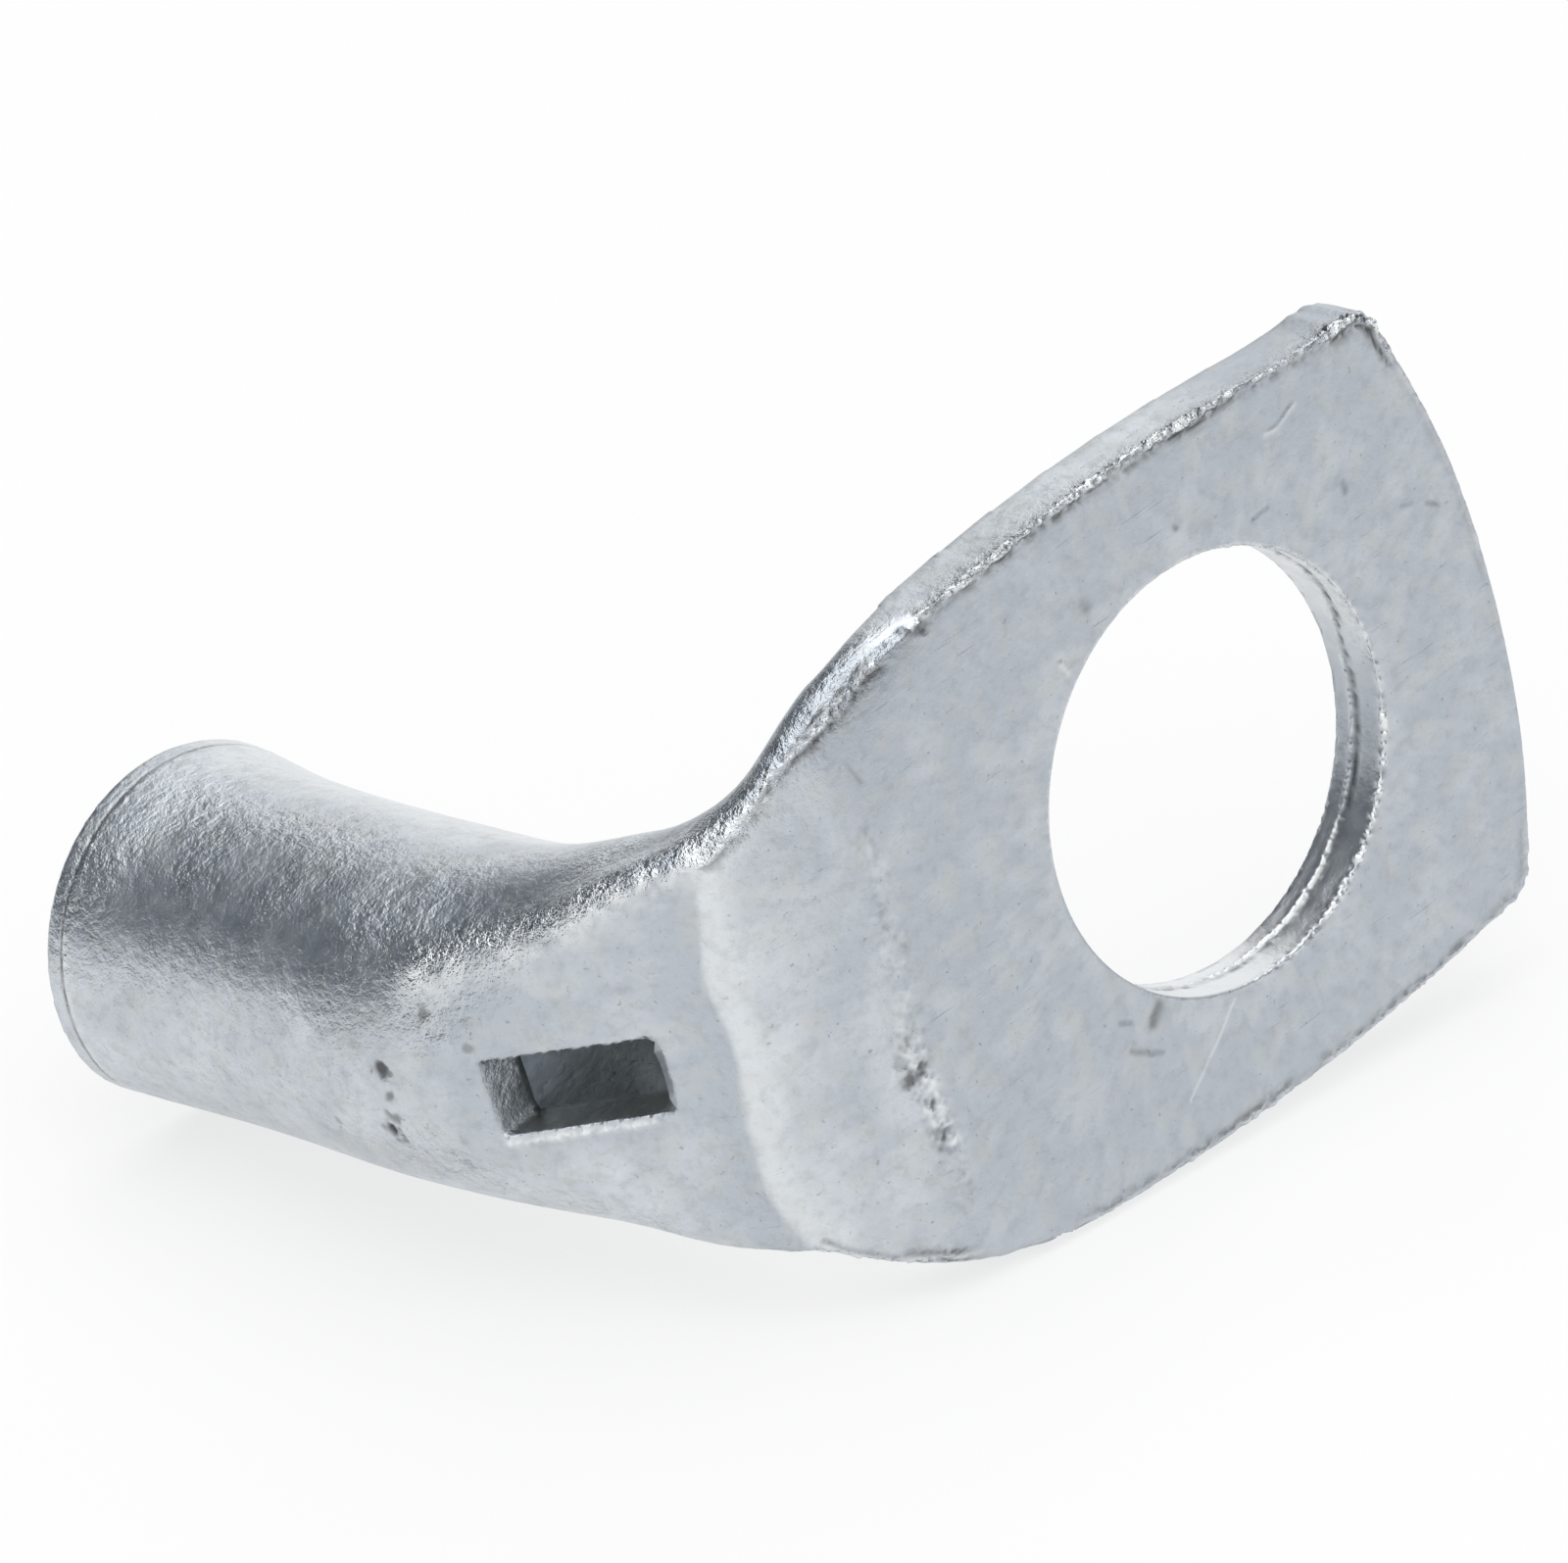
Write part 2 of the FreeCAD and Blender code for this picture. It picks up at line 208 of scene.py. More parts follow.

# Painted light and shade of regions, lighter or darker as light falls on them, between the two plain colours of
# the metal, 0 and 1, and past them
painted_light_tones = {
    "bend and neck": 0.13,
    "upper crease": 1.5,
    "above the crease": -0.45,
    "lower crease": 0.3,
    "around the hole": 0.15,
    "beside the window": 0.7,
    "cut side": 1.0,
    "cut side at the tip": -1.4,
    "barrel towards the palm": 0.8,
    "hole's wall": 0.9,
    "hole's wall in shade": -1.7,
    "barrel": 0.3,
    "shoulder": -0.9,
}

# Colours of the plating, and of its painted highlights and painted shade
metal_dark = (0.52, 0.56, 0.605, 1)
metal_pale = (0.7, 0.74, 0.775, 1)
metal_warm = (0.6, 0.61, 0.6, 1)
metal_mottled = (0.4, 0.43, 0.45, 1)
metal_inside_shade = (0.37, 0.385, 0.35, 1)
metal_blotched = (0.3, 0.33, 0.36, 1)
metal_speck = (0.25, 0.27, 0.28, 1)
metal_highlight = (0.85, 0.87, 0.88, 1)
metal_shade = (0.1, 0.1, 0.1, 1)
bump_depth = 0.000028

# Camera, in the palm's frame
camera_at = (-86.84, -74.72, -114.36)
camera_aim = (-4.34, -1.52, 3.97)
camera_up = (0.494, -0.8503, 0.1816)
camera_lens = 266.4
sensor_width = 36.0

# Studio, in metres and plain brightness. Cards: azimuth, half width, lower and upper
# edge in degrees, and strength
floor_size = 3.0
floor_color = (0.9, 0.9, 0.9, 1)
shadow_zone = (0.03, 0.12)
shadow_glow = 0.7
softbox_size = 0.4
softbox_height = 0.25
softbox_power = 0.35
tent_color = (1, 1, 1, 1)
card_color = (0.03, 0.045, 0.065, 1)
card_edge = 7
dark_cards = [(115, 49, -8, 49, 0.93), (-50, 38, -3, 50, 0.7)]


def palm_matrix(record):
    """Matrix from the palm's frame in millimetres to the row frame in metres."""
    mounts = {mount["name"]: mount for mount in record["mounts"]}
    z = Vector(mounts["wire_barrel"]["axis"]).normalized()
    hole = Vector(mounts["bolt_hole"]["pos_m"])
    barrel = Vector(mounts["wire_barrel"]["pos_m"])
    contact = Vector(mounts["contact_face"]["pos_m"])
    across = hole - barrel
    x = (across - z * across.dot(z)).normalized()
    y = z.cross(x)
    origin = hole + z * (contact - hole).dot(z)
    columns = [x * MM, y * MM, z * MM, origin]
    rows = [[column[i] for column in columns] for i in range(3)] + [[0, 0, 0, 1]]
    return Matrix(rows)


placing = palm_matrix(frame["record"])
sizes = {mount["name"]: mount for mount in frame["record"]["mounts"]}
hole_r = sizes["bolt_hole"]["dims"]["r_mm"]
bore_r = sizes["wire_barrel"]["dims"]["r_mm"]
palm_t = sizes["bolt_hole"]["dims"]["length_mm"]
barrel_x, _, mouth_z = placing.inverted() @ Vector(sizes["wire_barrel"]["pos_m"])
mouth_z += sizes["wire_barrel"]["dims"]["length_mm"] / 2

# Beyond this distance from the barrel's axis the surface counts as outside
outer_wall = bore_r + 0.3

# Regions, each as the start and the end of a smooth rise. From the barrel's axis out:
wall_rise = (bore_r, bore_r + 0.4)
# Along X:
palm_rise = (-5.6, -5.0)
shoulder_x = (-8.4, -7.6)
shoulder_x_end = (-5.4, -3.2)
# Away from the middle, along Y:
shoulder_y = (2.6, 3.3)
window_y_end = (0.75, 1.1)
# Along Z:
palm_end = (palm_t + 0.1, palm_t + 0.5)
window_z = (1.3, 1.7)
bend_end = (1.9, 2.6)
neck_rise = (2.0, 4.0)
shoulder_z_end = (2.5, 3.2)
window_z_end = (4.4, 4.8)
neck_end = (mouth_z - 1.2, mouth_z - 0.6)
mouth_rise = (mouth_z - 0.7, mouth_z - 0.5)


def step(low, high, value):
    """Smooth rise from 0 at low to 1 at high."""
    share = np.clip((value - low) / (high - low), 0, 1)
    return share * share * (3 - 2 * share)


def bell(value, width):
    """Bell curve around 0."""
    return np.exp(-(value / width) ** 2)


def lattice(cells, seed):
    """A fixed value between -1 and 1 for each whole-number cell."""
    mixed = (cells[:, 0] * 73856093) ^ (cells[:, 1] * 19349663)
    mixed = mixed ^ (cells[:, 2] * 83492791) ^ (seed * 2654435761)
    mixed = (mixed ^ (mixed >> 13)) * 1274126177
    mixed = (mixed ^ (mixed >> 16)) & 0xFFFFF
    return mixed / 0x7FFFF - 1.0


def rough(points, per_mm, seed):
    """Smooth noise between -1 and 1."""
    scaled = points * per_mm
    cell = np.floor(scaled).astype(np.int64)
    part = scaled - cell
    part = part * part * (3 - 2 * part)
    total = np.zeros(len(points))
    for i, j, k in np.ndindex(2, 2, 2):
        share = np.abs(1 - i - part[:, 0]) * np.abs(1 - j - part[:, 1]) * np.abs(1 - k - part[:, 2])
        total += share * lattice(cell + np.array([i, j, k]), seed)
    return total


def points_of(mesh):
    flat = np.empty(len(mesh.vertices) * 3, np.float32)
    mesh.vertices.foreach_get("co", flat)
    return flat.reshape(-1, 3).astype(float)


def normals_of(mesh):
    flat = np.empty(len(mesh.vertices) * 3, np.float32)
    mesh.vertex_normals.foreach_get("vector", flat)
    return flat.reshape(-1, 3).astype(float)


def edges_of(mesh):
    flat = np.empty(len(mesh.edges) * 2, np.int32)
    mesh.edges.foreach_get("vertices", flat)
    return flat.reshape(-1, 2)


def put(mesh, points):
    mesh.vertices.foreach_set("co", points.astype(np.float32).ravel())
    mesh.update()


def face_tree(mesh):
    """Lookup among the faces of a mesh."""
    return BVHTree.FromPolygons([v.co for v in mesh.vertices], [tuple(p.vertices) for p in mesh.polygons])


def point_tree(places):
    """Lookup among places."""
    tree = KDTree(len(places))
    for index, place in enumerate(places):
        tree.insert(place, index)
    tree.balance()
    return tree


def nearest_of(points, targets, reach):
    """Distance and number of the nearest target, looked up only within reach."""
    tree = point_tree(targets)
    low = targets.min(0) - reach
    high = targets.max(0) + reach
    found = np.full(len(points), FAR)
    number = np.zeros(len(points), int)
    for index in np.where(((points > low) & (points < high)).all(1))[0]:
        _, number[index], found[index] = tree.find(points[index])
    return found, number


def distance_to(points, targets, reach):
    return nearest_of(points, targets, reach)[0]


def segment_distance(points, start, end):
    """Distance from a straight line between two places, in as many axes as they have."""
    start = np.array(start)
    along = np.array(end) - start
    axes = len(start)
    share = np.clip(((points[:, :axes] - start) @ along) / (along ** 2).sum(), 0, 1)
    return np.linalg.norm(points[:, :axes] - start - share[:, None] * along, axis=1)


def chain_distance(points, chain):
    """Distance from a chain of straight lines."""
    nearest = np.full(len(points), FAR)
    for start, end in zip(chain[:-1], chain[1:]):
        nearest = np.minimum(nearest, segment_distance(points, start, end))
    return nearest


def away_from(points, centre):
    return np.linalg.norm(points - np.array(centre), axis=1)


def crease_distance(points):
    """Signed distance across the upper crease, rising towards the neck."""
    x, y, z = points.T
    turned = step(1.2, 2.8, -y)
    line_x = crease_at[0] + crease_turn[0] * turned
    line_z = crease_at[1] + crease_turn[1] * turned
    bow = sum(np.interp(y + shift, *zip(*crease_bow)) for shift in (-0.3, 0.0, 0.3)) / 3
    return crease_across[0] * (x - line_x) + crease_across[1] * (z - line_z) - bow


def seam_level(points):
    """Height over the contact face of the seam in the bolt hole's wall."""
    return palm_t * (seam_low + seam_rise * step(-1.8, 0.2, points[:, 1]))


def around_window(points):
    """1 close to the window in the neck, 0 away from it."""
    x, y, z = points.T
    beside = 1 - step(*window_y_end, np.abs(y))
    return beside * (x < barrel_x) * step(*window_z, z) * (1 - step(*window_z_end, z))


def shoulder(points):
    """1 where the palm's outline runs into the neck, 0 elsewhere."""
    x, y, z = points.T
    beside = step(*shoulder_y, -y) * step(*shoulder_x, x) * (1 - step(*shoulder_x_end, x))
    return beside * (1 - step(*shoulder_z_end, z))


def solid_mesh(source):
    """The solid's own mesh, joined up, in the palm's frame."""
    mesh = source.data.copy()
    mesh.transform(placing.inverted())
    work = bmesh.new()
    work.from_mesh(mesh)
    bmesh.ops.remove_doubles(work, verts=work.verts, dist=weld)
    work.to_mesh(mesh)
    work.free()
    return mesh


def remade(solid):
    """An even mesh of the solid."""
    holder = bpy.data.objects.new("holder", solid)
    bpy.context.scene.collection.objects.link(holder)
    remesh = holder.modifiers.new("remesh", "REMESH")
    remesh.mode = "VOXEL"
    remesh.voxel_size = voxel
    remesh.adaptivity = 0.0
    depsgraph = bpy.context.evaluated_depsgraph_get()
    mesh = bpy.data.meshes.new_from_object(holder.evaluated_get(depsgraph))
    bpy.data.objects.remove(holder)
    return mesh


def smoothed(mesh, weight, rounds):
    """Each point drawn towards the mean of its neighbours, by its weight."""
    points = points_of(mesh)
    edges = edges_of(mesh)
    count = np.bincount(edges.ravel(), minlength=len(points))[:, None]
    share = 0.5 * weight[:, None]
    for _ in range(rounds):
        total = np.empty_like(points)
        for axis in range(3):
            total[:, axis] = np.bincount(edges[:, 0], points[edges[:, 1], axis], len(points))
            total[:, axis] += np.bincount(edges[:, 1], points[edges[:, 0], axis], len(points))
        points = points + (total / count - points) * share
    put(mesh, points)


def soften(mesh):
    """Smooth the steps of the remade mesh, the neck's lofts, the creases and the shoulder."""
    smoothed(mesh, np.ones(len(mesh.vertices)), even_rounds)
    points = points_of(mesh)
    x, y, z = points.T
    rho = np.hypot(x - barrel_x, y)
    apart = 1 - around_window(points)
    neck = step(*wall_rise, rho) * step(*neck_rise, z) * (1 - step(*neck_end, z))
    smoothed(mesh, np.clip(neck * apart, 0, 1), neck_rounds)
    bend = (1 - step(*bend_end, z)) * (1 - step(*palm_rise, x))
    smoothed(mesh, np.clip(bend * apart, 0, 1), crease_rounds)
    smoothed(mesh, shoulder(points), shoulder_rounds)


def contact_line(solid):
    """Closely spaced places along the outer border of the contact face, up to the bend."""
    work = bmesh.new()
    work.from_mesh(solid)
    found = []
    for edge in work.edges:
        flat = [
            face.normal.z < -flat_slope and abs(face.calc_center_median().z) < flat_height
            for face in edge.link_faces
        ]
        if len(flat) == 2 and flat[0] != flat[1]:
            start, end = (np.array(vert.co) for vert in edge.verts)
            middle = (start + end) / 2
            slanted = abs(end[1] - start[1]) > abs(end[0] - start[0])
            across_fold = middle[0] < fold_x and (slanted or abs(middle[1]) < fold_half)
            if np.hypot(*middle[:2]) > hole_r + border_gap and not across_fold:
                count = int(np.linalg.norm(end - start) / line_step) + 2
                found += [start + (end - start) * share for share in np.linspace(0, 1, count)]
    work.free()
    return np.array(found)


def mark_distance(points):
    """Distance from the nearest mark of the contact face."""
    nearest = np.full(len(points), FAR)
    for start, end, width, depth in face_marks:
        nearest = np.minimum(nearest, segment_distance(points, start, end) - width)
    return np.where(np.abs(points[:, 2]) < face_height, nearest, FAR)


def rim_distance(points):
    """Distance from the bolt hole's rims, the seam in its wall, and the barrel's mouth."""
    x, y, z = points.T
    around = np.hypot(x, y)
    rho = np.hypot(x - barrel_x, y)
    hole = np.hypot(around - hole_r, np.minimum(np.abs(z), np.abs(z - palm_t)))
    seam = np.hypot(around - hole_r, z - seam_level(points)) + 0.03
    mouth = np.where(rho > outer_wall, 0.7 * np.abs(z - mouth_z + 0.12), FAR)
    bore = np.hypot(rho - bore_r, z - mouth_z) + 0.07
    return np.minimum(np.minimum(hole, seam), np.minimum(mouth, bore))


def detail_distance(points, line, zone):
    """Distance from the nearest detail, less the width over which each needs fine faces."""
    parts = [
        distance_to(points, line, zone),
        rim_distance(points),
        mark_distance(points),
        chain_distance(points, fold_edge),
        chain_distance(points, crinkle_line) - crinkle_reach,
        chain_distance(points, low_edge) + 0.03,
        segment_distance(points, *window_burr),
        segment_distance(points, *window_edge),
    ]
    parts += [away_from(points, centre) - radius for centre, radius, _, _ in pits]
    if zone == wide_zone:
        upper_border = points - np.array([0, 0, palm_t])
        parts.append(distance_to(upper_border, line, zone) + 0.1)
    return np.min(parts, axis=0)


def finer(mesh, chosen):
    """Halve the edges between chosen points."""
    work = bmesh.new()
    work.from_mesh(mesh)
    edges = [e for e in work.edges if chosen[e.verts[0].index] and chosen[e.verts[1].index]]
    bmesh.ops.subdivide_edges(work, edges=edges, cuts=1, use_grid_fill=True)
    work.to_mesh(mesh)
    work.free()
    mesh.update()


def refine(mesh, line):
    """Finer faces where details come, and once more on the torn edges in view."""
    for zone in (wide_zone, narrow_zone):
        finer(mesh, detail_distance(points_of(mesh), line, zone) < zone)
    points = points_of(mesh)
    x, y, z = points.T
    lip = np.minimum(distance_to(points, line, lip_zone), chain_distance(points, fold_edge))
    level = np.minimum(np.abs(z), np.abs(z - seam_level(points)) + 0.01)
    rim = np.hypot(np.hypot(x, y) - hole_r, level)
    finer(mesh, (lip < lip_zone) & (y < 0) & (x < 4.8) | (rim < lip_zone) & (x > -1.2) & (y > -1.5))


def snapped(mesh, solid, weight):
    """Points drawn onto the solid along their normals, by their weight."""
    tree = face_tree(solid)
    points = points_of(mesh)
    normals = normals_of(mesh)
    for index in np.where(weight > 0.01)[0]:
        outward = Vector(normals[index])
        place = tree.ray_cast(Vector(points[index]) - outward * snap_reach, outward, 2 * snap_reach)[0]
        if place is None:
            place = tree.find_nearest(points[index])[0]
        points[index] += (np.array(place) - points[index]) * weight[index]
    put(mesh, points)


def snap(mesh, solid):
    """Bring the palm, the mouth and the window back to their exact shape."""
    points = points_of(mesh)
    x, y, z = points.T
    keep = np.maximum(step(*palm_rise, x), step(*mouth_rise, z))
    keep = np.maximum(keep, around_window(points))
    snapped(mesh, solid, np.clip(keep * (1 - shoulder(points)), 0, 1))


def rounded_hole(points):
    """Points around the bolt hole moved onto a true cylinder with slightly rounded rims."""
    around = np.hypot(points[:, 0], points[:, 1])
    z = points[:, 2]
    chosen = (around < hole_r + 0.4) & (np.abs(z - palm_t / 2) < palm_t / 2 + 0.1)
    outward = np.maximum(around - hole_r, rim_round)
    inner = np.column_stack([outward, np.clip(z, rim_round, palm_t - rim_round)])
    out = np.column_stack([around - hole_r, z]) - inner
    length = np.maximum(np.linalg.norm(out, axis=1), 1e-6)[:, None]
    place = inner + out / length * rim_round
    ratio = (place[:, 0] + hole_r) / around
    moved = np.column_stack([points[:, 0] * ratio, points[:, 1] * ratio, place[:, 1]])
    return np.where(chosen[:, None], moved, points)


def evened(line):
    """Shift that turns the short straight pieces of a line into a smooth curve."""
    tree = point_tree(line)
    shift = np.zeros_like(line)
    for index, place in enumerate(line):
        near = np.array([found[0] for found in tree.find_range(place, even_reach)])[:, :2] - place[:2]
        along = np.linalg.svd(near - near.mean(0), full_matrices=False)[2][0]
        aside = np.array([-along[1], along[0]])
        middle = np.polyfit(near @ along, near @ aside, 2)[2]
        shift[index, :2] = aside * middle * (1 - step(even_limit / 2, even_limit, abs(middle)))
    return shift


def laid_on(mesh, chain):
    """Closely spaced places of a chain of lines, moved onto the mesh."""
    tree = face_tree(mesh)
    found = []
    for start, end in zip(chain[:-1], chain[1:]):
        for share in np.linspace(0, 1, 40):
            found.append(tree.find_nearest(Vector(start).lerp(Vector(end), share))[0])
    return np.array(found)


class Skin:
    """The surface while details are pressed into it, and the masks that colour it: painted light and shade by
    region, painted highlights and painted shade.
    """

    def __init__(self, mesh, line):
        self.mesh = mesh
        self.points = rounded_hole(points_of(mesh))
        self.line = self.even_outline(line)
        self.normals = normals_of(mesh)
        self.x, self.y, self.z = self.points.T
        self.around = np.hypot(self.x, self.y)
        self.rho = np.hypot(self.x - barrel_x, self.y)
        self.outside = (self.rho > outer_wall) | (self.normals @ np.array(neck_back) > 0.1)
        upright = step(-0.75, -0.5, -np.abs(self.normals[:, 2]))
        self.cut_side = (self.x > -5.0) * upright * (self.z < palm_t + 0.1)
        self.ragged = self.rough(5.5, 11) + 0.6 * self.rough(11, 12)
        self.jagged = 0.7 * self.rough(5.5, 41) + self.rough(11, 42) + 0.8 * self.rough(20, 44)
        self.push = np.zeros_like(self.points)
        self.tone = np.zeros(len(self.points))
        self.painted_shade = np.zeros(len(self.points))
        self.bright = np.zeros(len(self.points))

    def even_outline(self, line):
        """Carry the points beside the palm's outline along as it becomes smooth."""
        shift = evened(line)
        near, index = nearest_of(self.points * np.array([1, 1, 0]), line, 1.0)
        share = bell(near, even_width) * (1 - step(*palm_end, self.points[:, 2]))
        self.points[:, :2] += shift[index][:, :2] * share[:, None]
        return line + shift

    def rough(self, per_mm, seed):
        return rough(self.points, per_mm, seed)

    def press(self, height):
        """Move the surface outwards by a height."""
        self.push += self.normals * height[:, None]

    def paint_shade(self, mask):
        self.painted_shade = np.maximum(self.painted_shade, mask)

    def paint_highlight(self, mask):
        self.bright = np.maximum(self.bright, mask)

    def shade(self, region, mask):
        # painted light and shade: the region made lighter or darker by its level
        self.tone += painted_light_tones[region] * mask


def add_sways(skin):
    for centre, shift, radius in sways:
        skin.push += bell(away_from(skin.points, centre), radius)[:, None] * np.array(shift)


def add_face_marks(skin):
    """Scratches and nicks of the contact face, with a low wall along each, painted shade in the grooves and
    painted highlights on raised marks.
    """
    on_face = (np.abs(skin.z) < face_height) & (skin.normals[:, 2] < -0.5)
    waver = np.column_stack([skin.rough(3, 31), skin.rough(3, 32), 0 * skin.x])
    wavering = skin.points + mark_waver * waver
    for start, end, width, depth in face_marks:
        away = segment_distance(wavering, start, end)
        shape = bell(away, width) - mark_wall * bell(away - 2 * width, width)
        shape *= 1 + 0.6 * skin.rough(7, 3)
        skin.push[:, 2] += np.where(on_face, depth * shape, 0)
        skin.paint_shade(np.where(on_face & (depth > 0), mark_shade * depth * bell(away, 1.2 * width), 0))
        skin.paint_highlight(np.where(on_face & (depth < 0), mark_highlight * bell(away, width), 0))


def add_pits(skin):
    for centre, radius, depth, pit_shade in pits:
        away = away_from(skin.points, centre) / radius
        away += 0.5 * skin.rough(6, 7) + 0.35 * skin.rough(14, 8)
        mask = np.where(skin.outside, 1 - step(0.35, 1.15, away), 0)
        skin.press(-(depth * mask))
        # painted shade in each pit
        skin.paint_shade(pit_shade * mask)


def add_upper_crease(skin):
    """A soft ridge and hollow, painted shade just above the crease, and a band of painted highlight below them.
    """
    across = crease_distance(skin.points)
    on_bend = skin.outside * (skin.normals[:, 2] < 0.2) * (skin.x < -7.0) * (skin.z < 3.2)
    on_bend = on_bend * (1 - around_window(skin.points))
    waves = sum(height * bell(across - place, width) for place, width, height in crease_waves)
    skin.press(waves * on_bend * (1 - step(2.2, 3.2, np.abs(skin.y))))
    band = step(0.0, band_width, -across) * np.exp(-np.clip(-across - band_width, 0, FAR) / band_fade)
    skin.shade("upper crease", band * on_bend)
    skin.shade("above the crease", bell(across - 0.2, 0.3) * on_bend)
    skin.paint_highlight(0.35 * np.clip(band, 0, 1) * on_bend)


def add_tones(skin):
    """Broad regions of painted light and shade, lighter or darker as light falls on them, with painted
    highlights on the barrel's side towards the palm and on the hole's wall.
    """
    x, y, z, outside = skin.x, skin.y, skin.z, skin.outside
    skin.shade("bend and neck", step(6.25, 6.5, -x) * outside)
    skin.shade("lower crease", bell(x + 6.8, 0.22) * step(-1.0, 1.0, y) * outside * (z < 1))
    skin.shade("around the hole", bell(skin.around - hole_r - 0.2, 0.35) * (np.abs(z) < face_height))
    low_neck = step(1.5, 2.5, z) * (1 - step(4.0, 7.0, z))
    skin.shade("beside the window", step(0.8, 1.8, y) * low_neck * outside)
    skin.shade("cut side", skin.cut_side)
    skin.shade("cut side at the tip", step(0.0, 3.0, x) * skin.cut_side)
    # painted highlight on the barrel's side towards the palm
    towards_palm = step(0.1, 0.6, skin.normals[:, 0]) * step(*neck_rise, z) * outside
    skin.shade("barrel towards the palm", towards_palm)
    skin.paint_highlight(0.4 * towards_palm)
    wall = skin.around < hole_r + 0.04
    # painted highlight on the hole's wall, painted shade on its shaded part
    skin.shade("hole's wall", wall)
    skin.shade("hole's wall in shade", bell(y - 0.8, 1.0) * wall)
    skin.paint_highlight((0.45 + 0.3 * step(1.8, 2.8, y)) * (1 - bell(y - 0.8, 1.2)) * wall * (z > 0.05))
    skin.shade("barrel", step(4.0, 6.5, z) * outside)
    skin.shade("shoulder", bell(away_from(skin.points, (-5.4, -4.5, 0.6)), 0.8))


def add_crest(skin):
    """The rounded crest beside the neck, with painted glints along it."""
    away = chain_distance(skin.points, crest_line)
    crest = bell(away, crest_width) * skin.outside * (0.35 + 0.65 * step(0.8, 1.8, skin.z))
    skin.press(crest_height * crest)
    # painted glints along the crest
    glints = np.clip(0.5 + 0.7 * skin.jagged, 0, 1) * bell(away, crest_width)
    skin.paint_highlight(0.9 * glints * step(-0.95, -0.7, skin.normals[:, 1]) * skin.outside)


def add_crinkles(skin):
    """Crinkles along the lower crease, crowded at two places, with painted shade in their dents and painted
    highlights on their tops.
    """
    away = chain_distance(skin.points, crinkle_line) + 0.08 * skin.rough(1.5, 21)
    fold = bell(away, crinkle_width) * (skin.outside * (skin.normals[:, 2] < -0.3))
    crowd = np.zeros(len(skin.points))
    for x, y, radius, strength in crinkle_crowds:
        crowd += strength * bell(np.hypot(skin.x - x, skin.y - y), radius)
    crumpled = 0.8 * skin.rough(5, 22) + 0.9 * skin.rough(10, 23) + 0.6 * skin.rough(18, 24)
    crinkled = fold * (0.4 + crowd) * crumpled
    skin.push[:, 2] += crinkle_height * crinkled
    skin.paint_shade(np.clip(0.8 * crinkled - 0.05, 0, 0.85))
    skin.paint_highlight(np.clip(-0.8 * crinkled, 0, 0.8))


def add_torn_edge(skin):
    """Burr and torn groove along the edge of the contact face, with painted highlights on the burr and painted
    shade in the groove and tears. Returns the burr's mask.
    """
    x, y, points = skin.x, skin.y, skin.points
    near_edge = distance_to(points, skin.line, edge_reach)
    near_fold = distance_to(points, laid_on(skin.mesh, fold_edge), edge_reach)
    near_low = distance_to(points, laid_on(skin.mesh, low_edge), edge_reach)
    near_edge = np.where(x < -4.9, np.minimum(near_fold, near_low), near_edge)
    near_edge = np.abs(near_edge + edge_waver * skin.rough(2.5, 43))
    low_side = np.where(x < -6, 0.8 * step(6.1, 6.8, -x), 0.3 * step(-4.8, -4.0, x))
    side = np.where(y < 0, 1.0, low_side)
    side *= np.clip(0.95 + 0.5 * skin.rough(0.9, 13), 0.6, 1.3) * (1 - 0.85 * step(4.7, 5.1, x))

    lip = bell(near_edge, lip_width) * side
    skin.press(lip * np.clip(lip_height + lip_tearing * skin.jagged, *lip_limits))
    groove = np.where(skin.normals[:, 2] < -0.6, bell(near_edge - groove_place, groove_width), 0)
    groove = groove * side * np.clip(0.7 + 0.6 * skin.jagged, 0, 1)
    skin.push[:, 2] += groove_depth * groove
    skin.paint_shade(np.clip(1.1 * groove, 0, 1))
    skin.paint_shade(lip * np.clip(-0.8 * skin.jagged - 0.25, 0, 0.7))
    skin.paint_highlight(np.clip(lip * (0.35 + 0.8 * skin.jagged), 0, 1))
    return lip


def add_hole(skin):
    """Burred rim of the bolt hole, and the seam with its slot in the wall: painted highlights on rim and seam,
    painted shade in the slot and the rim's tears.
    """
    turned = step(-1.5, 2.0, skin.x) * (0.3 + 0.7 * step(-1.0, 2.5, skin.y))
    rim = bell(np.hypot(skin.around - hole_r, skin.z), rim_width) * turned
    skin.press(rim * np.clip(rim_height + rim_tearing * skin.jagged, *rim_limits))
    skin.paint_highlight(np.clip(rim * (0.5 + 0.8 * skin.jagged), 0, 1))
    skin.paint_shade(rim * np.clip(-0.8 * skin.jagged - 0.2, 0, 0.8))

    between_rims = (skin.z > seam_margin) & (skin.z < palm_t - seam_margin)
    wall = (np.abs(skin.around - hole_r) < 0.06) & between_rims
    level = skin.z - seam_level(skin.points) + 0.025 * skin.rough(2.5, 51) + 0.012 * skin.jagged
    seam = bell(level, seam_width) * (0.6 + 0.6 * skin.jagged)
    slot = bell(level - slot_place, slot_width) * np.clip(0.8 + 0.4 * skin.jagged, 0, 1)
    skin.press(np.where(wall, seam_height * seam - seam_height * slot, 0))
    skin.paint_shade(np.where(wall, 0.9 * slot, 0))
    skin.paint_highlight(np.where(wall, 0.7 * np.clip(seam, 0, 1), 0))


def add_window_burr(skin):
    edge = bell(segment_distance(skin.points, *window_burr), burr_width)
    skin.press(edge * (burr_height + burr_tearing * skin.jagged))
    # painted highlight along the burred edge
    skin.paint_highlight(np.clip(edge * (0.7 + 0.6 * skin.jagged), 0, 1))


